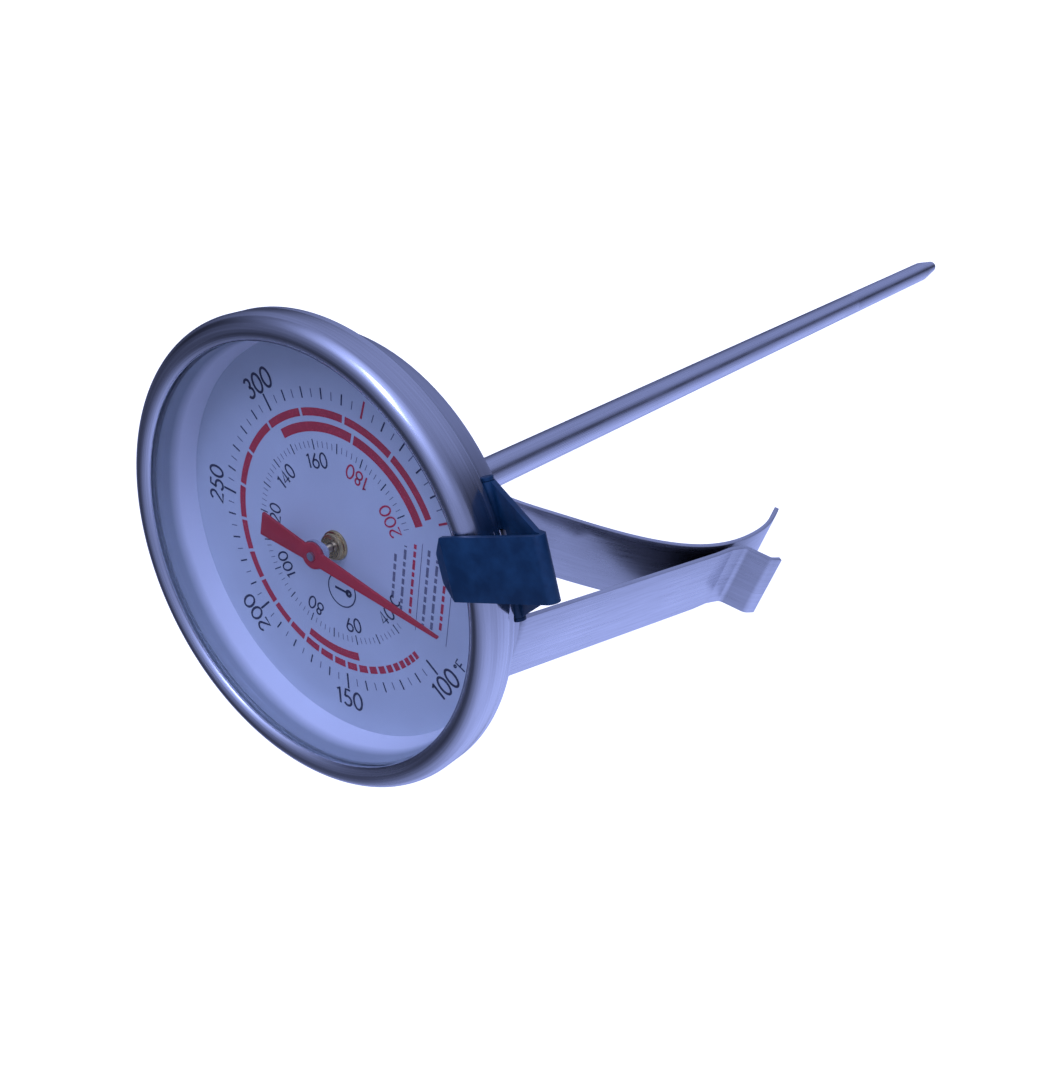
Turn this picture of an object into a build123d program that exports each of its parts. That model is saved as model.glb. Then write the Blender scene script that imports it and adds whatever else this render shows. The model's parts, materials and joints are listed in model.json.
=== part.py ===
from build123d import *
import math
import os

# Dial thermometer for brewing kettles: bimetal stem, dial head and pot clip.
# Units are millimetres. +Z runs out of the dial face along the stem's axis.
# The origin is on that axis, where the bare stem leaves its collar.

os.makedirs("parts", exist_ok=True)

# ---- driving dimensions -------------------------------------------------
DIAL_Z = 5.6            # height of the dial's printed face above the origin
SHEET = 0.5             # stainless sheet of the case and bezel
BEZEL_R = 27.0          # outside of the bezel
BEZEL_REAR = 3.3        # heights from here on are above the dial face
BEZEL_TOP = 7.5
BEZEL_MOUTH_R = 24.5    # the opening that shows the dial
CROWN_R = 1.6           # radius of the rolled front edge
DIAL_R = 23.9
DIAL_T = 0.5
LENS_LOW = 5.3
LENS_T = 1.3
LENS_R = 26.1
CASE_BACK = -4.0        # outside of the case's flat back

STEM_R = 2.1
STEM_WALL = 0.3
STEM_LENGTH = 194.0     # bare stem below the collar
TIP_TAPER = 8.0
TIP_R = 1.25
MARK_Z = -143.2         # rolled ring that marks how deep the stem must stand
MARK_DEPTH = 0.06
SHAFT_R = 0.5
POINTER_Z = 3.4         # underside of the pointer above the dial face
POINTER_T = 0.35
POINTER_AZIMUTH = -83.5  # direction of the needle in the XY plane, degrees
NEEDLE_REACH = 18.2
TAIL_REACH = 8.0

COIL_LOW = -184.3
COIL_TURNS = 26
COIL_PITCH = 1.6
COIL_R = 1.25
COIL_WIRE_R = 0.16

HOOK_AZIMUTH = -54.0    # where the clip's hook takes hold of the bezel
HOOK_T = 0.6
HOOK_FRONT_R = 23.6     # inner end of the hook's flat front plate
HOOK_SPINE_R = 35.5      # outside of the sharp fold
HOOK_FOLD_R = 0.5
HOOK_WIDTH = 6.4
HOOK_REAR_WIDTH = 13.8
PIN_R = 0.35
KNUCKLE_R = 0.72
PIN_RADIUS = 25.85      # distance of the hinge pin from the stem's axis
PIN_Z = 2.45
TONGUE_WIDTH = 6.4

CLIP_WIDTH = 9.0
CLIP_T = 0.6
RUN_FIT = 0.12          # radial clearance of turning and sliding fits

# ---- values that follow ---------------------------------------------------
DIAL_UNDER = -DIAL_T
LENS_TOP = LENS_LOW + LENS_T
FLANGE_LOW = BEZEL_REAR + SHEET + 0.02
FLANGE_TOP = FLANGE_LOW + SHEET
COIL_TOP = COIL_LOW + COIL_TURNS * COIL_PITCH
HOOK_UNDER = BEZEL_TOP + 0.2
HOOK_TOP = HOOK_UNDER + HOOK_T


def up(height):
    """Height above the dial face, as a Z of the row frame."""
    return DIAL_Z + height


def ring_face(points):
    """A closed outline of (radius, z) corners, standing in the XZ plane."""
    return make_face(Polyline([(r, 0, z) for r, z in points], close=True))


def turned(points):
    """A solid of revolution about the stem's axis."""
    return revolve(ring_face(points), Axis.Z)


def tube(outer, inner, low, high):
    return turned([(inner, low), (outer, low), (outer, high), (inner, high)])


def rod(radius, low, high):
    return Pos(0, 0, (low + high) / 2) * Cylinder(radius, high - low)


def profile_plane(azimuth, offset=0.0):
    """A plane through the axis: local x is radius, local y is height."""
    out = Vector(math.cos(math.radians(azimuth)), math.sin(math.radians(azimuth)), 0)
    normal = out.cross(Vector(0, 0, 1))
    return Plane(origin=normal * offset, x_dir=out, z_dir=normal)


def bent_strip(path, thickness, width, plane):
    """Sheet metal of one width, bent along a path in the plane."""
    section = trace(path, thickness)
    centred = plane.offset(-width / 2)
    return extrude(centred * section, width)


def save(node, shape):
    export_step(shape, f"parts/{node}.step")


# ---- head -----------------------------------------------------------------
def case_pan():
    """Shallow drawn pan: flange in the bezel, dished back, hole for the collar."""
    skin = SHEET
    outside = [
        (3.1, up(CASE_BACK)),
        (19.0, up(CASE_BACK)),
        (20.6, up(-3.6)),
        (24.3, up(-1.2)),
        (24.75, up(0.0)),
        (25.0, up(FLANGE_LOW)),
        (26.3, up(FLANGE_LOW)),
        (26.3, up(FLANGE_TOP)),
        (25.0 - skin, up(FLANGE_TOP)),
        (24.75 - skin, up(0.0)),
        (24.3 - skin, up(-0.95)),
        (20.5, up(-3.6 + skin)),
        (18.9, up(CASE_BACK + skin)),
        (3.1, up(CASE_BACK + skin)),
    ]
    return turned(outside)


def bezel_ring():
    """Ring of sheet: rolled front edge, plain wall, rear edge crimped inward."""
    roll = (BEZEL_R - CROWN_R, up(BEZEL_TOP - CROWN_R))
    cos45 = math.cos(math.radians(45))

    def on_roll(radius, angle):
        a = math.radians(angle)
        return (roll[0] + radius * math.cos(a), 0, roll[1] + radius * math.sin(a))

    inner_roll = CROWN_R - SHEET
    lip = (BEZEL_MOUTH_R, up(LENS_TOP + 0.03))
    outer = ThreePointArc(on_roll(CROWN_R, 0), on_roll(CROWN_R, 62), on_roll(CROWN_R, 140))
    inner = ThreePointArc(on_roll(inner_roll, 140), on_roll(inner_roll, 62), on_roll(inner_roll, 0))
    edges = [
        Line((BEZEL_R, 0, up(BEZEL_REAR + 0.35)), on_roll(CROWN_R, 0)),
        outer,
        Line(on_roll(CROWN_R, 140), (BEZEL_MOUTH_R - 0.35, 0, lip[1] + 0.22)),
        Line((BEZEL_MOUTH_R - 0.35, 0, lip[1] + 0.22), (BEZEL_MOUTH_R - 0.1, 0, lip[1])),
        Line((BEZEL_MOUTH_R - 0.1, 0, lip[1]), (lip[0] + 0.55, 0, lip[1])),
        Line((lip[0] + 0.55, 0, lip[1]), on_roll(inner_roll, 140)),
        inner,
        Line(on_roll(inner_roll, 0), (BEZEL_R - SHEET, 0, up(BEZEL_REAR + SHEET))),
        Line((BEZEL_R - SHEET, 0, up(BEZEL_REAR + SHEET)), (25.3, 0, up(BEZEL_REAR + SHEET))),
        Line((25.3, 0, up(BEZEL_REAR + SHEET)), (25.3, 0, up(BEZEL_REAR))),
        Line((25.3, 0, up(BEZEL_REAR)), (BEZEL_R - 0.35, 0, up(BEZEL_REAR))),
        ThreePointArc(
            (BEZEL_R - 0.35, 0, up(BEZEL_REAR)),
            (BEZEL_R - 0.35 + 0.35 * cos45, 0, up(BEZEL_REAR + 0.35 - 0.35 * cos45)),
            (BEZEL_R, 0, up(BEZEL_REAR + 0.35)),
        ),
    ]
    return revolve(make_face(edges), Axis.Z)


def lens():
    blank = Pos(0, 0, up((LENS_LOW + LENS_TOP) / 2)) * Cylinder(LENS_R, LENS_T)
    return chamfer(blank.edges().filter_by(GeomType.CIRCLE), 0.15)


def lens_gasket():
    return tube(LENS_R, 24.75, up(FLANGE_TOP + 0.01), up(LENS_LOW - 0.01))


def spacer_ring():
    """Pale ring that holds the dial down and flares out to the gasket."""
    return turned([
        (DIAL_R - 0.35, up(0.01)),
        (24.2, up(0.01)),
        (24.45, up(FLANGE_TOP - 0.1)),
        (24.45, up(LENS_LOW - 0.05)),
        (24.15, up(LENS_LOW - 0.05)),
        (24.1, up(3.4)),
    ])


def dial_plate():
    plate = Pos(0, 0, up(-DIAL_T / 2)) * Cylinder(DIAL_R, DIAL_T)
    return plate - rod(1.75, up(DIAL_UNDER - 1), up(1))


def dial_seat():
    """Pressed ring that carries the dial plate over the back of the pan."""
    low = up(CASE_BACK + SHEET + 0.01)
    high = up(DIAL_UNDER - 0.01)
    return turned([
        (11.0, low),
        (18.0, low),
        (18.0, low + SHEET),
        (14.6, low + SHEET),
        (15.4, high - SHEET),
        (19.6, high - SHEET),
        (19.6, high),
        (15.0, high),
        (14.0, low + SHEET),
        (11.0, low + SHEET),
    ])


# ---- movement ---------------------------------------------------------------
def dial_bush():
    """Brass bush at the dial's centre, pressed in the collar; it guides the shaft."""
    body = tube(1.5, SHAFT_R + RUN_FIT / 2, up(-3.1), up(0.9))
    return body + tube(1.74, 1.4, up(-0.45), up(0.35))


def stem_collar():
    """Turned collar: flange inside the pan, spigot through it, bore for the stem."""
    outer = turned([
        (1.52, up(-2.3)),
        (5.0, up(-2.3)),
        (5.0, up(CASE_BACK + SHEET + 0.3)),
        (3.0, up(CASE_BACK + SHEET + 0.3)),
        (3.0, 0.85),
        (2.7, 0.85),
        (2.7, 0.45),
        (3.0, 0.45),
        (3.0, 0.15),
        (2.85, 0.0),
        (STEM_R, 0.0),
        (STEM_R, up(-3.2)),
        (1.52, up(-3.2)),
    ])
    return outer


def collar_seal():
    """Flat ring between the collar's flange and the pan."""
    return tube(5.0, 3.02, up(CASE_BACK + SHEET + 0.01), up(CASE_BACK + SHEET + 0.29))


def snap_ring():
    """Open ring in the collar's groove; it keeps the hook's carrier on."""
    ring = tube(4.1, 2.72, 0.47, 0.83)
    gap = Pos(0, 3.4, 0.65) * Box(2.0, 3.2, 1.0)
    return ring - gap


def stem_tube():
    """Drawn stainless tube with a tapered, closed tip and a shallow immersion mark."""
    end = -STEM_LENGTH
    inner = STEM_R - STEM_WALL
    shoulder = end + TIP_TAPER
    return turned([
        (0, end),
        (TIP_R - 0.55, end),
        (TIP_R, end + 0.55),
        (STEM_R, shoulder),
        (STEM_R, MARK_Z - 0.4),
        (STEM_R - MARK_DEPTH, MARK_Z),
        (STEM_R, MARK_Z + 0.4),
        (STEM_R, up(-3.21)),
        (inner, up(-3.21)),
        (inner, shoulder + 0.6),
        (0, shoulder + 0.6),
    ])


def coil_anchor():
    """Plug soldered in the tip; the coil's lower end is fixed to it."""
    low = -STEM_LENGTH + TIP_TAPER + 0.62
    return turned([
        (0, low),
        (STEM_R - STEM_WALL, low),
        (STEM_R - STEM_WALL, low + 0.9),
        (0.5, low + 0.9),
        (0.5, COIL_LOW + 3.0),
        (0, COIL_LOW + 3.0),
    ])


def bimetal_coil():
    """Helix of bimetal wire between the anchor and the coupling."""
    turns_height = COIL_TURNS * COIL_PITCH
    path = Helix(pitch=COIL_PITCH, height=turns_height, radius=COIL_R)
    start = Plane(origin=path @ 0, z_dir=path % 0)
    wire = sweep(start * Circle(COIL_WIRE_R), path=path, is_frenet=True)
    return Pos(0, 0, COIL_LOW) * wire


def coil_coupling():
    """Sleeve on the shaft that takes the coil's upper end."""
    body = tube(0.95, SHAFT_R, COIL_TOP - 2.2, COIL_TOP + 1.6)
    head = tube(1.5, 0.9, COIL_TOP + COIL_WIRE_R + 0.02, COIL_TOP + 1.6)
    return body + head


def pointer_shaft():
    return rod(SHAFT_R, COIL_TOP - 2.2, up(POINTER_Z + POINTER_T + 0.25))


def guide_bushes():
    """Bushes pressed in the stem that keep the long shaft from whipping."""
    centres = (-40.0, -95.0)
    bushes = [
        tube(STEM_R - STEM_WALL, SHAFT_R + RUN_FIT / 2, z - 1.5, z + 1.5)
        for z in centres
    ]
    return Compound(children=bushes)


def pointer_hub():
    """Turned boss pressed on the shaft, under the pointer and riveted over it."""
    low = up(POINTER_Z - 1.3)
    under = up(POINTER_Z - 0.01)
    return turned([
        (SHAFT_R, low),
        (1.1, low),
        (1.1, up(POINTER_Z - 0.5)),
        (1.7, up(POINTER_Z - 0.5)),
        (1.7, under),
        (SHAFT_R, under),
    ])


def pointer():
    """Flat needle: thin point, round eye at the shaft, broad tail that balances it."""
    half_tail = 1.45
    outline = [
        (-TAIL_REACH, -half_tail),
        (-TAIL_REACH, half_tail),
        (-1.2, 0.95),
        (2.0, 0.85),
        (NEEDLE_REACH, 0.12),
        (NEEDLE_REACH, -0.12),
        (2.0, -0.85),
        (-1.2, -0.95),
    ]
    flat = make_face(Polyline(outline, close=True)) + Circle(1.55)
    flat = flat - Circle(SHAFT_R)
    turned_flat = Rot(0, 0, POINTER_AZIMUTH) * flat
    return extrude(Pos(0, 0, up(POINTER_Z)) * turned_flat, POINTER_T)


# ---- hook and its carrier -----------------------------------------------------
def hook_plane():
    return profile_plane(HOOK_AZIMUTH)


def across_hook(width, low_r, high_r, low_z, high_z):
    """Block between two radii and heights, centred on the hook's azimuth."""
    block = Pos((low_r + high_r) / 2, 0, (low_z + high_z) / 2)
    return Rot(0, 0, HOOK_AZIMUTH) * block * Box(high_r - low_r, width, high_z - low_z)


def knuckle(inner, start, end):
    """Rolled tube about the pin's line, between two places along it."""
    length = end - start
    ring = Cylinder(KNUCKLE_R, length)
    if inner:
        ring = ring - Cylinder(inner, length)
    lying = Rot(90, 0, 0) * ring
    return Rot(0, 0, HOOK_AZIMUTH) * Pos(PIN_RADIUS, (start + end) / 2, up(PIN_Z)) * lying


def rim_hook():
    """Spring-steel hook: nib and flat plate in front of the bezel, rolled edge behind."""
    half_t = HOOK_T / 2
    mid = up(HOOK_UNDER + half_t)
    rear_start = (PIN_RADIUS + KNUCKLE_R * 0.75, up(PIN_Z - 0.1))
    fold_slope = math.atan2(mid - rear_start[1], HOOK_SPINE_R - rear_start[0])
    overshoot = HOOK_FOLD_R * (1 / math.sin(fold_slope / 2) - 1) - half_t
    path = FilletPolyline(
        (HOOK_FRONT_R - 1.25, mid - 0.42),
        (HOOK_FRONT_R, mid),
        (HOOK_SPINE_R + overshoot, mid),
        rear_start,
        radius=[0.5, HOOK_FOLD_R],
    )
    sheet = bent_strip(path, HOOK_T, HOOK_REAR_WIDTH, hook_plane())
    half_front = HOOK_WIDTH / 2
    half_rear = HOOK_REAR_WIDTH / 2
    split = up(HOOK_UNDER - 0.4)
    front_plan = Polyline(
        (HOOK_FRONT_R - 2.0, -0.6),
        (HOOK_FRONT_R - 2.0, 0.6),
        (HOOK_FRONT_R - 0.1, half_front),
        (HOOK_SPINE_R + 1.0, half_front),
        (HOOK_SPINE_R + 1.0, -half_front),
        (HOOK_FRONT_R - 0.1, -half_front),
        close=True,
    )
    rear_plan = Polyline(
        (PIN_RADIUS - 2.0, -half_rear),
        (PIN_RADIUS - 2.0, half_rear),
        (PIN_RADIUS + 0.6, half_rear),
        (HOOK_SPINE_R - 1.6, half_front),
        (HOOK_SPINE_R + 1.0, half_front),
        (HOOK_SPINE_R + 1.0, -half_front),
        (HOOK_SPINE_R - 1.6, -half_front),
        (PIN_RADIUS + 0.6, -half_rear),
        close=True,
    )
    turn = Rot(0, 0, HOOK_AZIMUTH)
    front_tool = extrude(turn * Pos(0, 0, split) * make_face(front_plan), 4.0)
    rear_tool = extrude(turn * Pos(0, 0, split - 12.0) * make_face(rear_plan), 12.0)
    body = (sheet & front_tool) + (sheet & rear_tool)
    centre = TONGUE_WIDTH / 2 - 1.0
    slot = across_hook(2 * centre, PIN_RADIUS - 2, PIN_RADIUS + 1.5, up(PIN_Z - 2), up(PIN_Z + 1.9))
    body = body - slot
    bore = PIN_R + RUN_FIT / 2
    for start, end in ((-half_rear, -centre), (centre, half_rear)):
        body = body - knuckle(None, start, end) + knuckle(bore, start, end)
    return body


def hook_pin():
    """Hinge pin with a flat head at each end."""
    half = HOOK_REAR_WIDTH / 2
    shank = Cylinder(PIN_R, 2 * half + 0.2)
    head = Cylinder(KNUCKLE_R - 0.05, 0.35)
    pin = shank + Pos(0, 0, half + 0.225) * head + Pos(0, 0, -half - 0.225) * head
    return Rot(0, 0, HOOK_AZIMUTH) * Pos(PIN_RADIUS, 0, up(PIN_Z)) * Rot(90, 0, 0) * pin


def hook_carrier():
    """Stainless tongue under the pan: ring about the collar, knuckle at the rim."""
    half_t = 0.25
    flat_z = 0.87 + half_t
    centre = TONGUE_WIDTH / 2 - 1.15
    path = FilletPolyline(
        (-5.2, flat_z),
        (19.6, flat_z),
        (25.6, up(-1.75)),
        (PIN_RADIUS + 0.52, up(PIN_Z - 0.35)),
        radius=[2.0, 1.2],
    )
    sheet = bent_strip(path, 2 * half_t, 2 * centre, hook_plane())
    ring = Pos(0, 0, flat_z) * Cylinder(5.4, 2 * half_t)
    body = sheet + ring - rod(3.0 + RUN_FIT, -3, 6)
    body = body - knuckle(None, -centre, centre) + knuckle(PIN_R + RUN_FIT / 2, -centre, centre)
    return body


# ---- pot clip ---------------------------------------------------------------
def clip_plane():
    """Local x is the row's Y and local y is Z; the strip's width runs along X."""
    return Plane(origin=(0, 0, 0), x_dir=(0, 1, 0), z_dir=(1, 0, 0))


RUN_TOP = -0.9          # upper run of the outer leaf, just under the collar
RUN_LOW = up(-17.6)     # lower run of the inner leaf, where the stem goes through again
TAIL_Y = 7.2            # tail of the outer leaf, behind the stem
TAIL_GAP = 0.35         # lets the inner leaf rock on its rivets
INNER_TAIL_Y = TAIL_Y - CLIP_T - TAIL_GAP
RIVET_R = 0.9
RIVET_X = 2.6
RIVET_Z = (RUN_TOP + RUN_LOW) / 2 + 0.2


def clip_outer_leaf():
    """Upper run on the stem, rise beside the pan, long straight jaw, curled lip."""
    path = FilletPolyline(
        (TAIL_Y, RUN_LOW + 3.4),
        (TAIL_Y, RUN_TOP),
        (-18.2, RUN_TOP),
        (-22.5, up(-3.0)),
        (-29.8, up(-34.6)),
        (-30.3, up(-37.4)),
        (-31.2, up(-39.7)),
        (-34.6, up(-40.7)),
        (-35.3, up(-41.9)),
        radius=[1.5, 1.6, 0.75, 2.0, 1.6, 1.3, 0.9],
    )
    leaf = bent_strip(path, CLIP_T, CLIP_WIDTH, clip_plane())
    stem_hole = rod(STEM_R + RUN_FIT / 2, RUN_TOP - 1, RUN_TOP + 1)
    return leaf - stem_hole - rivet_holes(RIVET_R)


def clip_inner_leaf():
    """Tail on the rivets, lower run with a slot for the stem, bowed jaw, flared end."""
    tail = FilletPolyline(
        (INNER_TAIL_Y, RUN_TOP - 3.0),
        (INNER_TAIL_Y, RUN_LOW + 0.35),
        (-4.0, RUN_LOW - 0.6),
        radius=2.2,
    )
    lead = Vector(0, 0, 0) + tail @ 1
    bow = Spline(
        [
            (lead.X, lead.Y),
            (-12.7, up(-21.8)),
            (-22.0, up(-28.0)),
            (-27.6, up(-34.2)),
            (-29.75, up(-39.4)),
            (-30.5, up(-44.6)),
            (-29.4, up(-52.3)),
        ],
        tangents=[tail % 1, (0.3, -1.0)],
    )
    leaf = bent_strip(tail, CLIP_T, CLIP_WIDTH, clip_plane())
    leaf = leaf + bent_strip(bow, CLIP_T, CLIP_WIDTH, clip_plane())
    slot = Pos(0, -0.35, RUN_LOW) * Box(2 * STEM_R + 0.3, 2 * STEM_R + 1.9, 5.0)
    return leaf - fillet(slot.edges().filter_by(Axis.Z), STEM_R - 0.1) - rivet_holes(RIVET_R + RUN_FIT)


def rivet_holes(radius):
    holes = [
        Pos(x, TAIL_Y, RIVET_Z) * Rot(90, 0, 0) * Cylinder(radius, 6.0)
        for x in (-RIVET_X, RIVET_X)
    ]
    return holes[0] + holes[1]


def clip_rivets():
    """Two shouldered rivets: tight in the outer tail, loose enough for the inner to rock."""
    outside = TAIL_Y + CLIP_T / 2
    inside = INNER_TAIL_Y - CLIP_T / 2 - 0.22
    shank = Rot(90, 0, 0) * Cylinder(RIVET_R, outside - inside + 0.02)
    head = Rot(90, 0, 0) * Cylinder(1.5, 0.45)
    rivets = []
    for x in (-RIVET_X, RIVET_X):
        body = Pos(x, (outside + inside) / 2, RIVET_Z) * shank
        body = body + Pos(x, outside + 0.235, RIVET_Z) * head
        body = body + Pos(x, inside - 0.235, RIVET_Z) * head
        rivets.append(body)
    return Compound(children=rivets)


PIECES = [
    case_pan,
    bezel_ring,
    lens,
    lens_gasket,
    spacer_ring,
    dial_plate,
    dial_seat,
    dial_bush,
    stem_collar,
    collar_seal,
    snap_ring,
    stem_tube,
    coil_anchor,
    bimetal_coil,
    coil_coupling,
    pointer_shaft,
    guide_bushes,
    pointer_hub,
    pointer,
    rim_hook,
    hook_pin,
    hook_carrier,
    clip_outer_leaf,
    clip_inner_leaf,
    clip_rivets,
]

for piece in PIECES:
    save(piece.__name__, piece())
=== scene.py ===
import json
import math

import bmesh
import bpy
from mathutils import Matrix, Vector


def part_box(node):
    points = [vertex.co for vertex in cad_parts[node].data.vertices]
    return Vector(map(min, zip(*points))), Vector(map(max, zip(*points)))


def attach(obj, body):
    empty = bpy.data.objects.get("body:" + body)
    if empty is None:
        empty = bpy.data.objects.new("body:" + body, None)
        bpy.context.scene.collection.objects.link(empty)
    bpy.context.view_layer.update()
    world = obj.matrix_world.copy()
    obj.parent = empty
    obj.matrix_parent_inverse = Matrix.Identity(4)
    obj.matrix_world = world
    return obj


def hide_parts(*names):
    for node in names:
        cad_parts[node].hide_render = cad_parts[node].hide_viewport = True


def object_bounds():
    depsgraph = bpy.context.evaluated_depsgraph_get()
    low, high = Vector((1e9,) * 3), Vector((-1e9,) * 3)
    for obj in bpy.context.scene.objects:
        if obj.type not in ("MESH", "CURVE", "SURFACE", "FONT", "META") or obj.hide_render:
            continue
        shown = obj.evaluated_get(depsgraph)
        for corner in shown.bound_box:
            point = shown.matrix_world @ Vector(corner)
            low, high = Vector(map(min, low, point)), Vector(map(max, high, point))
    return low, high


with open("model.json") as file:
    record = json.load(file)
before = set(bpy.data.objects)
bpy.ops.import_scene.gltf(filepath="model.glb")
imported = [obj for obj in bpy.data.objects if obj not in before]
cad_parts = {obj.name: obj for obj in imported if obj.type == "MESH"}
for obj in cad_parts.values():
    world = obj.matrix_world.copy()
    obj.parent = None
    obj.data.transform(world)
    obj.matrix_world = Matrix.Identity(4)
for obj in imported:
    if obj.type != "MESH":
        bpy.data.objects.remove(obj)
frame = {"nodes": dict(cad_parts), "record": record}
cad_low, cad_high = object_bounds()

MM = 0.001
NODES = frame["nodes"]

# ---- places taken from the frame -------------------------------------------
DIAL_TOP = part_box("dial_plate")[1].z
BEZEL_LOW, BEZEL_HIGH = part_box("bezel_ring")

# ---- the dial's scale -------------------------------------------------------
DIAL_TURN = math.radians(12.2)       # the dial's upright direction, anticlockwise of +Y
SWEEP = math.radians(298.4)          # from 100 to 400 degrees Fahrenheit
SCALE_LOW, SCALE_MIDDLE, SCALE_HIGH = 100, 250, 400
PRINT_LIFT = 0.012 * MM              # the ink stands this far above the enamel
INK_THICKNESS = 0.02 * MM


def up(height):
    """Z of a point some millimetres above the dial's face."""
    return DIAL_TOP + height * MM


# ---- node helpers -------------------------------------------------------------
def new_material(name):
    material = bpy.data.materials.new(name)
    material.use_nodes = True
    tree = material.node_tree
    return material, tree, tree.nodes["Principled BSDF"]


def node(tree, kind, **settings):
    made = tree.nodes.new(kind)
    for key, value in settings.items():
        setattr(made, key, value)
    return made


def feed(tree, source, target):
    """Links a socket to an input, or sets the input to a plain value."""
    if isinstance(source, bpy.types.NodeSocket):
        tree.links.new(source, target)
    else:
        target.default_value = source


def maths(tree, operation, first, second=0.0, third=0.0):
    made = node(tree, "ShaderNodeMath", operation=operation)
    for value, target in zip((first, second, third), made.inputs):
        feed(tree, value, target)
    return made.outputs[0]


def object_place(tree):
    return node(tree, "ShaderNodeTexCoord").outputs["Object"]


def split(tree, vector):
    made = node(tree, "ShaderNodeSeparateXYZ")
    feed(tree, vector, made.inputs[0])
    return made.outputs[0], made.outputs[1], made.outputs[2]


def join(tree, x, y, z):
    made = node(tree, "ShaderNodeCombineXYZ")
    for value, target in zip((x, y, z), made.inputs):
        feed(tree, value, target)
    return made.outputs[0]


def scaled(tree, vector, scale):
    made = node(tree, "ShaderNodeMapping")
    feed(tree, vector, made.inputs["Vector"])
    made.inputs["Scale"].default_value = scale
    return made.outputs[0]


def noise(tree, vector, scale=1.0, detail=4.0, roughness=0.55):
    made = node(tree, "ShaderNodeTexNoise")
    feed(tree, vector, made.inputs["Vector"])
    made.inputs["Scale"].default_value = scale
    made.inputs["Detail"].default_value = detail
    made.inputs["Roughness"].default_value = roughness
    return made.outputs["Fac"]


def spread(tree, value, low, high, to_low, to_high):
    made = node(tree, "ShaderNodeMapRange")
    for source, target in zip((value, low, high, to_low, to_high), made.inputs):
        feed(tree, source, target)
    return made.outputs[0]


def mix_colour(tree, factor, first, second):
    made = node(tree, "ShaderNodeMix", data_type="RGBA")
    feed(tree, factor, made.inputs["Factor"])
    feed(tree, first, made.inputs[6])
    feed(tree, second, made.inputs[7])
    return made.outputs[2]


def dimmed(colour, share):
    return tuple(c * share for c in colour[:3]) + (1.0,)


def bumped(tree, shader, height, strength, depth):
    """Fine relief; depth is in metres."""
    made = node(tree, "ShaderNodeBump")
    made.inputs["Strength"].default_value = strength
    made.inputs["Distance"].default_value = depth
    feed(tree, height, made.inputs["Height"])
    feed(tree, made.outputs[0], shader.inputs["Normal"])


def round_the_axis(tree, fine, along):
    """Coordinates for marks left by turning: fine across radius and height, long round the axis."""
    x, y, z = split(tree, object_place(tree))
    square = maths(tree, "ADD", maths(tree, "MULTIPLY", x, x), maths(tree, "MULTIPLY", y, y))
    radius = maths(tree, "SQRT", square)
    angle = maths(tree, "ARCTAN2", y, x)
    wave_x = maths(tree, "MULTIPLY", maths(tree, "COSINE", angle), along)
    wave_y = maths(tree, "MULTIPLY", maths(tree, "SINE", angle), along)
    across = maths(tree, "MULTIPLY", maths(tree, "ADD", radius, z), fine)
    return join(tree, wave_x, wave_y, across)


# ---- materials ----------------------------------------------------------------
SHELTER_REACH = 16 * MM              # metal nearer than this keeps light off the steel
# Painted shade: the colour that the steel is darkened towards where other metal lies close over it
PAINTED_SHADE_COLOUR = (0.05, 0.05, 0.06, 1.0)
BRIGHT_STEEL = (0.78, 0.79, 0.84, 1.0)
PLAIN_STEEL = (0.62, 0.63, 0.68, 1.0)
DARK_STEEL = (0.36, 0.37, 0.42, 1.0)
SPRING_STEEL = (0.30, 0.30, 0.32, 1.0)
BIMETAL = (0.62, 0.50, 0.38, 1.0)
BRASS = (0.80, 0.60, 0.28, 1.0)


def steel(name, colour, rough, grain, grain_depth=0.00001, smudge_scale=90.0, painted_shade_share=0.0):
    """Bare metal: a fine grain, and smudges that change how much it shines.

    grain is a function of the tree that gives the stretched coordinates of the grain.
    The last argument is how far the colour is darkened, as a painted shade, where other metal lies close
    over it.
    """
    material, tree, shader = new_material(name)
    lines = noise(tree, grain(tree), 1.0, 5.0, 0.65)
    smudge = noise(tree, object_place(tree), smudge_scale, 3.0, 0.5)
    tone = spread(tree, lines, 0.35, 0.7, 0.0, 1.0)
    base = mix_colour(tree, tone, dimmed(colour, 0.8), colour)
    if painted_shade_share:
        # Painted shade: ambient occlusion darkens the base colour where other metal lies close over the
        # steel
        near = node(tree, "ShaderNodeAmbientOcclusion", samples=8)
        near.inputs["Distance"].default_value = SHELTER_REACH
        cover = spread(tree, near.outputs["AO"], 0.35, 0.95, painted_shade_share, 0.0)
        base = mix_colour(tree, cover, base, PAINTED_SHADE_COLOUR)
    feed(tree, base, shader.inputs["Base Color"])
    low, high = rough
    rough_lines = spread(tree, lines, 0.3, 0.7, low, high)
    rough_smudge = spread(tree, smudge, 0.35, 0.75, -0.04, 0.08)
    feed(tree, maths(tree, "ADD", rough_lines, rough_smudge), shader.inputs["Roughness"])
    shader.inputs["Metallic"].default_value = 1.0
    bumped(tree, shader, lines, 0.35, grain_depth)
    return material


def turned_grain(fine, along=1.2):
    return lambda tree: round_the_axis(tree, fine, along)


def drawn_grain(scale):
    return lambda tree: scaled(tree, object_place(tree), scale)


def enamel(name, colour, rough, speck=0.04):
    """Baked paint or enamel: nearly even colour, slight orange peel."""
    material, tree, shader = new_material(name)
    place = object_place(tree)
    patches = noise(tree, place, 160.0, 3.0, 0.5)
    peel = noise(tree, place, 1500.0, 2.0, 0.5)
    uneven = spread(tree, patches, 0.3, 0.7, 0.0, 1.0)
    base = mix_colour(tree, uneven, dimmed(colour, 1.0 - speck * 3), colour)
    feed(tree, base, shader.inputs["Base Color"])
    feed(tree, spread(tree, peel, 0.3, 0.7, rough - 0.04, rough + 0.06), shader.inputs["Roughness"])
    bumped(tree, shader, peel, 0.12, 0.00002)
    return material


SHADE_LOW, SHADE_HIGH = 2.5, 3.9     # millimetres above the dial, where the wall turns from white to grey


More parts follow.
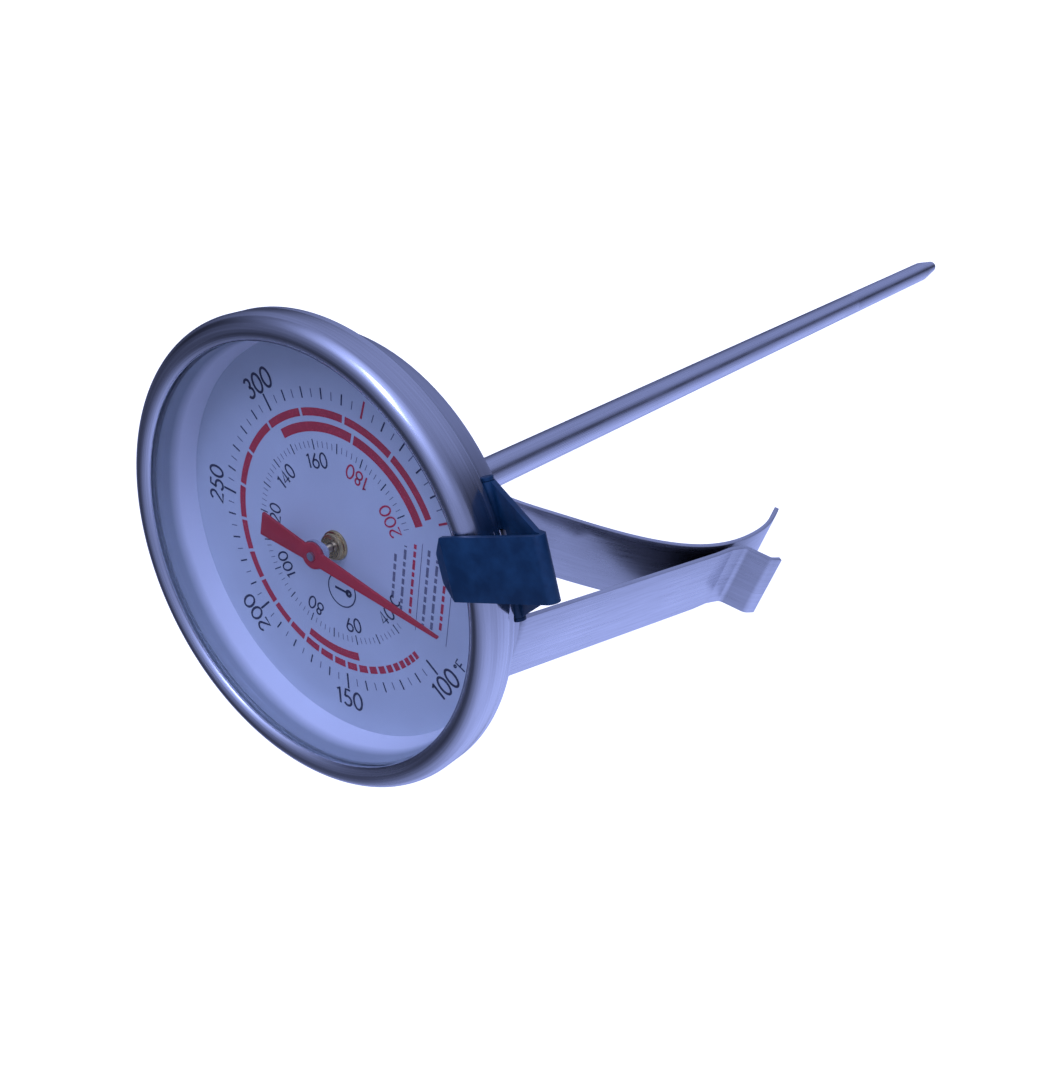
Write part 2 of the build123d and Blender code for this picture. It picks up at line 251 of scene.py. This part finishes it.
def spacer_enamel():
    """The wall round the dial: white, and greyer towards its upper edge, where the gasket shades it."""
    material, tree, shader = new_material("spacer_white")
    place = object_place(tree)
    height = split(tree, place)[2]
    patches = noise(tree, place, 160.0, 3.0, 0.5)
    wavy = maths(tree, "MULTIPLY_ADD", patches, 0.4 * MM, height)
    shade = spread(tree, wavy, up(SHADE_LOW), up(SHADE_HIGH), 0.0, 1.0)
    white, grey = (0.88, 0.89, 0.92, 1.0), (0.36, 0.40, 0.43, 1.0)
    feed(tree, mix_colour(tree, shade, white, grey), shader.inputs["Base Color"])
    feed(tree, spread(tree, patches, 0.3, 0.7, 0.30, 0.40), shader.inputs["Roughness"])
    return material


def hook_paint():
    """Dark blue baked paint with rubbed, duller patches and fine scratches."""
    material, tree, shader = new_material("hook_paint")
    place = object_place(tree)
    rub = noise(tree, place, 420.0, 5.0, 0.6)
    scratch = noise(tree, scaled(tree, place, (300.0, 2600.0, 900.0)), 1.0, 3.0, 0.6)
    peel = noise(tree, place, 2200.0, 2.0, 0.5)
    deep = (0.004, 0.031, 0.072, 1.0)
    worn = (0.011, 0.060, 0.125, 1.0)
    rubbed = spread(tree, rub, 0.40, 0.72, 0.0, 1.0)
    feed(tree, mix_colour(tree, rubbed, deep, worn), shader.inputs["Base Color"])
    rough_rub = spread(tree, rub, 0.3, 0.7, 0.34, 0.50)
    rough_scratch = spread(tree, scratch, 0.62, 0.75, 0.0, 0.15)
    feed(tree, maths(tree, "ADD", rough_rub, rough_scratch), shader.inputs["Roughness"])
    shader.inputs["Specular IOR Level"].default_value = 0.35
    bumped(tree, shader, maths(tree, "ADD", peel, scratch), 0.15, 0.00002)
    return material


def clear_lens():
    """Clear lens: light for the dial passes straight through, and the surface reflects."""
    material, tree, shader = new_material("lens_glass")
    haze = noise(tree, object_place(tree), 130.0, 4.0, 0.6)
    shader.inputs["Base Color"].default_value = (0.97, 0.98, 1.0, 1.0)
    shader.inputs["Transmission Weight"].default_value = 1.0
    shader.inputs["IOR"].default_value = 1.45
    feed(tree, spread(tree, haze, 0.4, 0.8, 0.0, 0.05), shader.inputs["Roughness"])
    passing = node(tree, "ShaderNodeBsdfTransparent")
    passing.inputs[0].default_value = (0.97, 0.98, 1.0, 1.0)
    mixer = node(tree, "ShaderNodeMixShader")
    feed(tree, node(tree, "ShaderNodeLightPath").outputs["Is Shadow Ray"], mixer.inputs[0])
    feed(tree, shader.outputs[0], mixer.inputs[1])
    feed(tree, passing.outputs[0], mixer.inputs[2])
    feed(tree, mixer.outputs[0], tree.nodes["Material Output"].inputs["Surface"])
    return material


def ink(name, colour):
    """Screen-printed ink: slightly uneven cover and a soft gloss."""
    material, tree, shader = new_material(name)
    cover = noise(tree, object_place(tree), 2600.0, 3.0, 0.7)
    thin = tuple(min(1.0, c * 1.7 + 0.03) for c in colour[:3]) + (1.0,)
    worn_away = spread(tree, cover, 0.5, 0.85, 0.0, 0.7)
    feed(tree, mix_colour(tree, worn_away, colour, thin), shader.inputs["Base Color"])
    feed(tree, spread(tree, cover, 0.3, 0.7, 0.42, 0.58), shader.inputs["Roughness"])
    return material


def rubber(name, colour):
    """Matt rubber or silicone with a fine grain."""
    material, tree, shader = new_material(name)
    grain = noise(tree, object_place(tree), 1800.0, 4.0, 0.6)
    feed(tree, spread(tree, grain, 0.3, 0.7, 0.55, 0.8), shader.inputs["Roughness"])
    tone = spread(tree, grain, 0.3, 0.7, 0.0, 1.0)
    feed(tree, mix_colour(tree, tone, dimmed(colour, 0.8), colour), shader.inputs["Base Color"])
    bumped(tree, shader, grain, 0.3, 0.00003)
    return material


STEM_GRAIN = drawn_grain((2600, 2600, 26))
CLIP_GRAIN = drawn_grain((3000, 130, 130))


def make_materials():
    """One material for each slot of the frame, and three inks."""
    return {
        "bezel_steel": steel("bezel_steel", BRIGHT_STEEL, (0.13, 0.24), turned_grain(5200.0), 0.000005),
        "case_steel": steel("case_steel", PLAIN_STEEL, (0.28, 0.44), turned_grain(3800.0), 0.000012),
        "stem_steel": steel("stem_steel", BRIGHT_STEEL, (0.20, 0.34), STEM_GRAIN, 0.000008),
        # The clip's leaves get painted shade where they lie close to each other
        "clip_steel": steel("clip_steel", BRIGHT_STEEL, (0.24, 0.36), CLIP_GRAIN, 0.000006, painted_shade_share=0.62),
        "inner_steel": steel("inner_steel", PLAIN_STEEL, (0.25, 0.40), drawn_grain((900, 900, 900))),
        "spring_steel": steel("spring_steel", SPRING_STEEL, (0.3, 0.45), turned_grain(2600.0)),
        "rivet_steel": steel("rivet_steel", DARK_STEEL, (0.22, 0.36), drawn_grain((1500, 1500, 1500))),
        "hub_steel": steel("hub_steel", BRIGHT_STEEL, (0.12, 0.24), turned_grain(6000.0), 0.000004),
        "bimetal": steel("bimetal", BIMETAL, (0.25, 0.4), drawn_grain((900, 900, 4000))),
        "brass": steel("brass", BRASS, (0.18, 0.34), turned_grain(5200.0), 0.000006),
        "dial_white": enamel("dial_enamel", (0.60, 0.65, 0.68, 1.0), 0.42, 0.02),
        "spacer_white": spacer_enamel(),
        "pointer_red": enamel("pointer_red", (0.50, 0.030, 0.040, 1.0), 0.38),
        "hook_blue": hook_paint(),
        "seal_rubber": rubber("seal_rubber", (0.02, 0.02, 0.022, 1.0)),
        "gasket_pale": rubber("gasket_pale", (0.36, 0.42, 0.46, 1.0)),
        "lens_clear": clear_lens(),
        "ink_black": ink("ink_black", (0.030, 0.030, 0.045, 1.0)),
        "ink_grey": ink("ink_grey", (0.16, 0.16, 0.20, 1.0)),
        "ink_red": ink("ink_red", (0.52, 0.035, 0.050, 1.0)),
    }


# How far sheared and turned edges are eased, in millimetres
EASED_EDGES = {
    "clip_outer_leaf": 0.10,
    "clip_inner_leaf": 0.10,
    "rim_hook": 0.12,
    "hook_carrier": 0.08,
    "hook_pin": 0.08,
    "clip_rivets": 0.12,
    "stem_collar": 0.06,
    "case_pan": 0.10,
    "pointer": 0.04,
    "pointer_hub": 0.05,
    "dial_bush": 0.06,
    "snap_ring": 0.05,
}


def dress_frame(materials):
    """Every carried-over CAD node takes the finish of its slot, with smooth rounds and crisp corners."""
    slots = {entry["node"]: entry["material_slot"] for entry in frame["record"]["subparts"]}
    for name, piece in NODES.items():
        piece.data.materials.clear()
        piece.data.materials.append(materials[slots[name]])
        if "custom_normal" in piece.data.attributes:
            piece.data.attributes.remove(piece.data.attributes["custom_normal"])
        piece.data.shade_smooth()
        weld = piece.modifiers.new("weld", "WELD")
        weld.merge_threshold = 0.002 * MM
        if name in EASED_EDGES:
            bevel = piece.modifiers.new("eased_edges", "BEVEL")
            bevel.limit_method = "ANGLE"
            bevel.angle_limit = math.radians(40)
            bevel.width = EASED_EDGES[name] * MM
            bevel.segments = 2
        keep_corners(piece, 34)


def keep_corners(piece, degrees):
    """Corners sharper than this stay crisp under smooth shading."""
    edges = piece.modifiers.new("sharp", "EDGE_SPLIT")
    edges.split_angle = math.radians(degrees)


# ---- mesh helpers ---------------------------------------------------------------
def add_piece(name, mesh, material, body):
    piece = bpy.data.objects.new(name, mesh)
    bpy.context.scene.collection.objects.link(piece)
    mesh.materials.append(material)
    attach(piece, body)
    return piece


def lathe(name, outline, material, body, steps=288):
    """A closed outline of (radius, z) in metres, turned about the stem's axis."""
    shape = bmesh.new()
    rings = []
    for i in range(steps):
        a = 2 * math.pi * i / steps
        rings.append([shape.verts.new((r * math.cos(a), r * math.sin(a), z)) for r, z in outline])
    for i in range(steps):
        here, following = rings[i], rings[(i + 1) % steps]
        for k in range(len(outline)):
            m = (k + 1) % len(outline)
            shape.faces.new((here[k], following[k], following[m], here[m]))
    bmesh.ops.recalc_face_normals(shape, faces=shape.faces)
    mesh = bpy.data.meshes.new(name)
    shape.to_mesh(mesh)
    shape.free()
    mesh.shade_smooth()
    piece = add_piece(name, mesh, material, body)
    keep_corners(piece, 40)
    return piece


def round_bit(centre_r, centre_height, radius, start, end, steps):
    """Part of a circle in the (radius, z) half plane; millimetres and degrees in, metres out."""
    points = []
    for i in range(steps + 1):
        a = math.radians(start + (end - start) * i / steps)
        points.append(((centre_r + radius * math.cos(a)) * MM, up(centre_height + radius * math.sin(a))))
    return points


# ---- bezel ----------------------------------------------------------------------
BEZEL_R = 27.0
BEZEL_SHEET = 0.5
CROWN_R = 1.6                        # the rolled front edge
CROWN_END = 140                      # degrees that the crown turns before it becomes the lip
LIP_R, LIP_AT = 0.27, (24.42, 6.90)  # the lip's rounding that rests on the lens
LIP_UNDER = 6.63
REAR_R = 0.35                        # rounding of the rear edge, where the wall is crimped inward
REAR_REACH = 25.3
CREASE = 4.20                        # height above the dial of the faint crease that locks the case
CREASE_R, CREASE_OUT = 0.60, 0.55    # an arc whose middle is this far outside the wall


def roll_bezel(materials):
    """The bezel with a fully round crown, a turned lip on the lens, and the crease by its rear edge."""
    top = (BEZEL_HIGH.z - DIAL_TOP) / MM
    rear = (BEZEL_LOW.z - DIAL_TOP) / MM
    wall_inside = BEZEL_R - BEZEL_SHEET
    hidden_side = [
        (24.9, LIP_UNDER),
        (wall_inside - 0.3, LIP_UNDER),
        (wall_inside, 6.2),
        (wall_inside, rear + BEZEL_SHEET),
        (REAR_REACH, rear + BEZEL_SHEET),
        (REAR_REACH, rear),
    ]
    outline = [(radius * MM, up(height)) for radius, height in hidden_side]
    outline += round_bit(BEZEL_R - REAR_R, rear + REAR_R, REAR_R, -90, 0, 6)
    outline += round_bit(BEZEL_R + CREASE_OUT, CREASE, CREASE_R, 203, 157, 6)
    outline += round_bit(BEZEL_R - CROWN_R, top - CROWN_R, CROWN_R, 0, CROWN_END, 40)
    outline += round_bit(*LIP_AT, LIP_R, 150, 270, 8)
    bezel = lathe("bezel_rolled", outline, materials["bezel_steel"], "head")
    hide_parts("bezel_ring")


# ---- dial print -----------------------------------------------------------------
class Print:
    """Flat ink on the dial, gathered in one mesh. Places are in millimetres, dial upright."""

    def __init__(self):
        self.shape = bmesh.new()

    def polygon(self, points):
        turn = Matrix.Rotation(DIAL_TURN, 2)
        corners = []
        for x, y in points:
            at = turn @ Vector((x, y)) * MM
            corners.append(self.shape.verts.new((at.x, at.y, DIAL_TOP + PRINT_LIFT)))
        self.shape.faces.new(corners)

    def ribbon(self, points, width, closed=False):
        """A stroke of even width along points."""
        half = width / 2
        count = len(points)
        sides = []
        for i, here in enumerate(points):
            before = points[i - 1] if closed or i else here
            after = points[(i + 1) % count] if closed or i < count - 1 else here
            along = (Vector(after) - Vector(before)).normalized()
            off = Vector((-along.y, along.x)) * half
            sides.append((Vector(here) + off, Vector(here) - off))
        last = count if closed else count - 1
        for i in range(last):
            (a, b), (c, d) = sides[i], sides[(i + 1) % count]
            self.polygon((a, b, d, c))

    def band(self, start, end, inner, outer):
        """Part of a ring between two angles, clockwise from upright."""
        steps = max(1, math.ceil((end - start) / math.radians(1.5)))
        angles = [start + (end - start) * i / steps for i in range(steps + 1)]
        for a, b in zip(angles, angles[1:]):
            self.polygon((clock(inner, a), clock(outer, a), clock(outer, b), clock(inner, b)))

    def tick(self, angle, inner, outer, width):
        self.ribbon([clock(inner, angle), clock(outer, angle)], width)

    def text(self, words, at, turn, height, stroke):
        """Numbers drawn with round strokes, centred on at."""
        width = sum(GLYPHS[c][0] for c in words) * height
        cursor = -width / 2
        c, s = math.cos(turn), math.sin(turn)
        for letter in words:
            advance, strokes = GLYPHS[letter]
            for closed, path in strokes:
                placed = []
                for u, v in path:
                    x = cursor + u * height
                    y = (v - 0.5) * height
                    placed.append((at[0] + x * c - y * s, at[1] + x * s + y * c))
                self.ribbon(placed, stroke, closed)
            cursor += advance * height

    def finish(self, name, material):
        bmesh.ops.recalc_face_normals(self.shape, faces=self.shape.faces)
        mesh = bpy.data.meshes.new(name)
        self.shape.to_mesh(mesh)
        self.shape.free()
        piece = add_piece(name, mesh, material, "head")
        solid = piece.modifiers.new("ink", "SOLIDIFY")
        solid.thickness = INK_THICKNESS
        solid.offset = 0.0
        return piece


def clock(radius, angle):
    return (radius * math.sin(angle), radius * math.cos(angle))


def dial_angle(fahrenheit):
    return (fahrenheit - SCALE_MIDDLE) / (SCALE_HIGH - SCALE_LOW) * SWEEP


def arc(centre_x, centre_y, radius_x, radius_y, start, end, steps=20):
    """Points of an ellipse's arc; angles in degrees, anticlockwise from +x."""
    points = []
    for i in range(steps + 1):
        a = math.radians(start + (end - start) * i / steps)
        points.append((centre_x + radius_x * math.cos(a), centre_y + radius_y * math.sin(a)))
    return points


# Each sign: its advance, then its strokes as (closed, points) in a box one unit high.
GLYPHS = {
    "0": (0.72, [(True, arc(0.36, 0.5, 0.27, 0.46, 0, 345, 23))]),
    "1": (0.46, [(False, [(0.10, 0.80), (0.27, 0.95), (0.27, 0.04)])]),
    "2": (0.66, [(False, arc(0.32, 0.71, 0.22, 0.24, 165, -28, 14) + [(0.08, 0.05), (0.58, 0.05)])]),
    "3": (0.64, [
        (False, arc(0.30, 0.73, 0.19, 0.21, 155, -90, 16)),
        (False, arc(0.30, 0.28, 0.23, 0.24, 90, -155, 18)),
    ]),
    "4": (0.70, [(False, [(0.46, 0.04), (0.46, 0.94), (0.06, 0.29), (0.62, 0.29)])]),
    "5": (0.66, [
        (False, [(0.54, 0.95), (0.23, 0.95), (0.15, 0.55)] + arc(0.31, 0.31, 0.25, 0.27, 118, -150, 18)),
    ]),
    "6": (0.70, [
        (True, arc(0.35, 0.30, 0.26, 0.26, 0, 345, 23)),
        (False, [(0.46, 0.96), (0.26, 0.66), (0.12, 0.42)]),
    ]),
    "8": (0.70, [
        (True, arc(0.35, 0.74, 0.18, 0.20, 0, 345, 23)),
        (True, arc(0.35, 0.29, 0.24, 0.25, 0, 345, 23)),
    ]),
    "F": (0.60, [
        (False, [(0.12, 0.04), (0.12, 0.95), (0.52, 0.95)]),
        (False, [(0.12, 0.52), (0.46, 0.52)]),
    ]),
    "C": (0.80, [(False, arc(0.46, 0.5, 0.36, 0.45, 48, 312, 20))]),
    "°": (0.30, [(True, arc(0.14, 0.84, 0.09, 0.09, 0, 330, 11))]),
}

# Ticks: inner radius, outer radius, width
MAJOR_TICK = (16.45, 18.5, 0.26)
TEN_TICK = (16.75, 18.0, 0.19)
FIVE_TICK = (16.85, 17.8, 0.12)
CELSIUS_TEN = (11.0, 12.2, 0.14)
CELSIUS_TWO = (11.25, 12.0, 0.08)
# Numerals: distance of their middle from the dial's, then height and width of stroke
NUMERAL, FAR_NUMERAL = 19.85, 21.2
CELSIUS_NUMERAL = 9.75
NUMERAL_SIZE = (2.4, 0.31)
UNIT_SIZE = (1.6, 0.19)
CELSIUS_SIZE = (1.8, 0.22)
CELSIUS_UNIT_SIZE = (1.5, 0.2)
# Bands: inner radius, outer radius
RING = (14.8, 15.7)
ZONE = (13.05, 14.15)


def upright_turn(angle):
    """Numbers in the dial's lower half are turned so that they aren't upside down."""
    flipped = math.pi if abs(angle) > math.pi / 2 else 0.0
    return -angle + flipped


def fahrenheit_scale(black, grey, red):
    for degree in range(SCALE_LOW, SCALE_HIGH + 1, 5):
        angle = dial_angle(degree)
        if degree % 50 == 0:
            (red if degree >= 350 else black).tick(angle, *MAJOR_TICK)
        elif degree % 10 == 0:
            black.tick(angle, *TEN_TICK)
        else:
            grey.tick(angle, *FIVE_TICK)
    for degree in range(SCALE_LOW, SCALE_HIGH + 1, 50):
        angle = dial_angle(degree)
        target = red if degree >= 350 else black
        reach = FAR_NUMERAL if degree == 350 else NUMERAL
        target.text(str(degree), clock(reach, angle), upright_turn(angle), *NUMERAL_SIZE)
    after_100 = dial_angle(SCALE_LOW) - math.radians(10.5)
    black.text("°F", clock(20.0, after_100), upright_turn(after_100), *UNIT_SIZE)


def celsius_scale(black, grey, red):
    for celsius in range(38, 205, 2):
        angle = dial_angle(32 + 1.8 * celsius)
        if celsius % 10 == 0:
            black.tick(angle, *CELSIUS_TEN)
        else:
            grey.tick(angle, *CELSIUS_TWO)
    for celsius in range(40, 201, 20):
        angle = dial_angle(32 + 1.8 * celsius)
        target = red if celsius >= 180 else black
        target.text(str(celsius), clock(CELSIUS_NUMERAL, angle), upright_turn(angle), *CELSIUS_SIZE)
    after_40 = dial_angle(32 + 1.8 * 40) - math.radians(14)
    black.text("°C", clock(9.6, after_40), upright_turn(after_40), *CELSIUS_UNIT_SIZE)


def heat_ring(red):
    """Segments that lengthen evenly from fine dashes at the cool end."""
    segments, growth = 25, 1.10
    first = (398 - 102) * (growth - 1) / (growth ** segments - 1)
    start = 102.0
    for i in range(segments):
        length = first * growth ** i
        gap = min(1.5, length * 0.30)
        red.band(dial_angle(start + gap / 2), dial_angle(start + length - gap / 2), *RING)
        start += length


def zones(red):
    red.band(dial_angle(300.3), dial_angle(346.6), *ZONE)
    red.band(dial_angle(348.2), dial_angle(399.2), *ZONE)
    red.band(dial_angle(141.0), dial_angle(174.5), ZONE[0] + 0.2, ZONE[1] + 0.1)


MARK_AT = (-5.4, -1.2)
MARK_R = 2.1
MARK_BAR = 1.05
MARK_BULB = 0.32
WORD_LENGTHS = (0.9, 0.55, 1.2, 0.7)
WORD_GAP = 0.32
WORD_HEIGHT = 0.36


def small_print(black, grey, red):
    """Plain rules and rows of dashes where a dial carries its notes, and a ring round a small
    thermometer sign as its mark."""
    rows = [
        (grey, -8.7, 2.9),
        (grey, -10.0, 4.2),
        (red, -11.3, 4.9),
        (grey, -13.2, 5.0),
        (grey, -14.4, 4.3),
        (red, -15.6, 3.8),
    ]
    for target, height, reach in rows:
        across = -reach
        word = 0
        while across < reach:
            stop = min(across + WORD_LENGTHS[word % len(WORD_LENGTHS)], reach)
            target.ribbon([(across, height), (stop, height)], WORD_HEIGHT)
            across = stop + WORD_GAP
            word += 1
    for height in (-12.25, -16.6):
        grey.ribbon([(-5.4, height), (5.4, height)], 0.09)
    x, y = MARK_AT
    black.ribbon(arc(x, y, MARK_R, MARK_R, 0, 350, 35), 0.16, closed=True)
    black.ribbon([(x, y - MARK_BAR), (x, y + MARK_BAR)], 0.3)
    black.ribbon(arc(x, y - MARK_BAR, MARK_BULB, MARK_BULB, 0, 340, 17), 0.34, closed=True)


def print_dial(materials):
    """All of the dial's print, one mesh for each ink."""
    black, grey, red = Print(), Print(), Print()
    fahrenheit_scale(black, grey, red)
    celsius_scale(black, grey, red)
    heat_ring(red)
    zones(red)
    small_print(black, grey, red)
    black.finish("dial_print_black", materials["ink_black"])
    grey.finish("dial_print_grey", materials["ink_grey"])
    red.finish("dial_print_red", materials["ink_red"])


# ---- stage ----------------------------------------------------------------------
CAMERA_AT = Vector((0.07923, -0.06158, 0.08682))
CAMERA_RIGHT = Vector((0.28097, -0.75392, -0.59385))
CAMERA_DOWN = Vector((-0.76974, -0.54660, 0.32974))
FOCAL_IN_HEIGHTS = 1139.3 / 1076     # focal length over the picture's height


def place_camera():
    data = bpy.data.cameras.new("camera")
    data.sensor_width = 36.0
    data.lens = FOCAL_IN_HEIGHTS * data.sensor_width
    data.clip_start = 0.005
    camera = bpy.data.objects.new("camera", data)
    bpy.context.scene.collection.objects.link(camera)
    right = CAMERA_RIGHT.normalized()
    up = (-CAMERA_DOWN).normalized()
    back = right.cross(up)
    turn = Matrix((right, up, back)).transposed()
    camera.matrix_world = Matrix.Translation(CAMERA_AT) @ turn.to_4x4()
    bpy.context.scene.camera = camera


def area_light(name, direction, distance, size, power, colour):
    """A soft box that looks at the dial from a direction given as azimuth and elevation."""
    data = bpy.data.lights.new(name, "AREA")
    data.shape = "RECTANGLE"
    data.size, data.size_y = size
    data.energy = power
    data.color = colour
    lamp = bpy.data.objects.new(name, data)
    bpy.context.scene.collection.objects.link(lamp)
    lamp.location = towards(*direction) * distance
    lamp.rotation_euler = (-lamp.location).to_track_quat("-Z", "Y").to_euler()
    return lamp


def towards(azimuth, elevation):
    """Unit vector; angles in degrees."""
    a, e = math.radians(azimuth), math.radians(elevation)
    return Vector((math.cos(e) * math.cos(a), math.cos(e) * math.sin(a), math.sin(e)))


LIGHT_TINT = (0.44, 0.52, 1.0)
# Soft glows of the studio: azimuth, elevation, sharpness, strength; a negative one is a dark corner
SKY_GLOWS = [
    (24, 54, 10.0, 0.90),
    (18, 28, 6.0, 0.90),
    (-128, 15, 3.0, 0.70),
    (152, 28, 9.0, -0.27),
    (95, 8, 6.0, -0.27),
]
SKY_BASE = 0.30
# Painted glows of the floor by azimuth only, seen in reflections and bounced light: azimuth, sharpness,
# strength; a negative one is a painted dark patch
FLOOR_GLOWS = [
    (-48, 15.0, -0.45),
    (108, 6.0, -0.40),
    (-145, 3.0, 0.60),
    (24, 4.0, 0.10),
]
FLOOR_BASE = 0.50


def glow_sum(tree, vector, glows, base):
    """Sum of smooth lobes exp(sharpness * (cos(angle) - 1)) about given directions."""
    total = base
    for direction, sharpness, strength in glows:
        dot = node(tree, "ShaderNodeVectorMath", operation="DOT_PRODUCT")
        feed(tree, vector, dot.inputs[0])
        dot.inputs[1].default_value = direction
        power = maths(tree, "MULTIPLY", maths(tree, "SUBTRACT", dot.outputs["Value"], 1.0), sharpness)
        total = maths(tree, "MULTIPLY_ADD", maths(tree, "EXPONENT", power), strength, total)
    return maths(tree, "MAXIMUM", total, 0.02)


def light_stage():
    """A soft box, a side lamp, and a sky of soft glows; seen directly, the backdrop is plain and pale."""
    area_light("overhead", (20, 48), 0.50, (0.11, 0.21), 0.32, LIGHT_TINT)
    side = area_light("side", (-5, 26), 0.35, (0.20, 0.20), 0.45, LIGHT_TINT)
    side.visible_glossy = False
    world = bpy.data.worlds.new("studio")
    bpy.context.scene.world = world
    world.use_nodes = True
    tree = world.node_tree
    direction = node(tree, "ShaderNodeTexCoord").outputs["Generated"]
    glows = [(towards(a, e), k, w) for a, e, k, w in SKY_GLOWS]
    strength = glow_sum(tree, direction, glows, SKY_BASE)
    back = tree.nodes["Background"]
    back.inputs["Color"].default_value = LIGHT_TINT + (1.0,)
    feed(tree, strength, back.inputs["Strength"])
    backdrop = node(tree, "ShaderNodeBackground")
    backdrop.inputs["Color"].default_value = (0.96, 0.96, 0.98, 1.0)
    mixer = node(tree, "ShaderNodeMixShader")
    feed(tree, node(tree, "ShaderNodeLightPath").outputs["Is Camera Ray"], mixer.inputs[0])
    feed(tree, back.outputs[0], mixer.inputs[1])
    feed(tree, backdrop.outputs[0], mixer.inputs[2])
    feed(tree, mixer.outputs[0], tree.nodes["World Output"].inputs["Surface"])


def lay_floor():
    """Pale floor. Seen directly it is nearly white; what the steel mirrors of it is a dimmer painted glow,
    with painted pools of light on either side and painted dark patches between."""
    size = 4.0
    floor_z = cad_low.z - 0.0005
    mesh = bpy.data.meshes.new("floor")
    signs = ((-1, -1), (1, -1), (1, 1), (-1, 1))
    corners = [(size * a, size * b, floor_z) for a, b in signs]
    mesh.from_pydata(corners, [], [(0, 1, 2, 3)])
    floor = bpy.data.objects.new("floor", mesh)
    bpy.context.scene.collection.objects.link(floor)
    material, tree, shader = new_material("floor")
    place = object_place(tree)
    x, y, _ = split(tree, place)
    flat = node(tree, "ShaderNodeVectorMath", operation="NORMALIZE")
    feed(tree, join(tree, x, y, 0.0), flat.inputs[0])
    glows = [(towards(a, 0), k, w) for a, k, w in FLOOR_GLOWS]
    # Painted light: for all but camera rays the floor glows, brighter or darker by azimuth
    painted_floor_light = node(tree, "ShaderNodeEmission")
    painted_floor_light.inputs["Color"].default_value = LIGHT_TINT + (1.0,)
    feed(tree, glow_sum(tree, flat.outputs[0], glows, FLOOR_BASE), painted_floor_light.inputs["Strength"])
    grain = noise(tree, place, 30.0, 3.0, 0.5)
    pale, paler = (0.90, 0.90, 0.92, 1.0), (0.94, 0.94, 0.95, 1.0)
    feed(tree, mix_colour(tree, grain, pale, paler), shader.inputs["Base Color"])
    shader.inputs["Roughness"].default_value = 0.9
    shader.inputs["Emission Color"].default_value = (1.0, 1.0, 1.0, 1.0)
    shader.inputs["Emission Strength"].default_value = 0.9
    mixer = node(tree, "ShaderNodeMixShader")
    feed(tree, node(tree, "ShaderNodeLightPath").outputs["Is Camera Ray"], mixer.inputs[0])
    feed(tree, painted_floor_light.outputs[0], mixer.inputs[1])
    feed(tree, shader.outputs[0], mixer.inputs[2])
    feed(tree, mixer.outputs[0], tree.nodes["Material Output"].inputs["Surface"])
    mesh.materials.append(material)


materials = make_materials()
dress_frame(materials)
roll_bezel(materials)
print_dial(materials)
lay_floor()
light_stage()
place_camera()
bpy.context.scene.view_settings.view_transform = "Standard"
